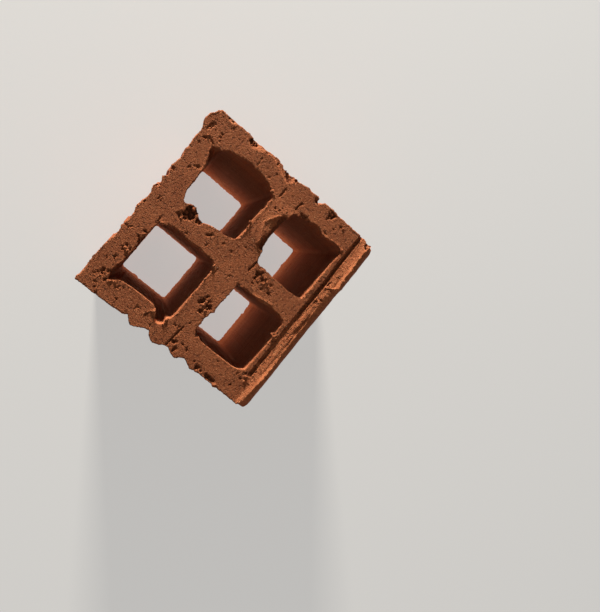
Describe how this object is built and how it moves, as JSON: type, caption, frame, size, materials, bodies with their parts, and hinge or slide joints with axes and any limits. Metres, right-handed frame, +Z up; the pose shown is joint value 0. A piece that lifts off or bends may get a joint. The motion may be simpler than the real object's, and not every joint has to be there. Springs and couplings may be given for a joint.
{
  "type": "half-length hollow clay brick",
  "caption": "Short extruded clay brick with square through cells, grooved sides and rough wire-cut ends, for partition walls.",
  "frame": {"origin": "middle of the lower cut end, on the crossing of the two webs", "axes": "+Z up along the direction of extrusion and of the cells, towards the cut end that the picture shows; +X towards the side whose top edge the cutting wire creased; +Y across the section"},
  "size_m": [0.08, 0.08, 0.09],
  "materials": {
    "fired_clay": "matt, sandy, unglazed"
  },
  "bodies": {
    "root": {"clay_brick": "fired_clay"}
  },
  "joints": []
}
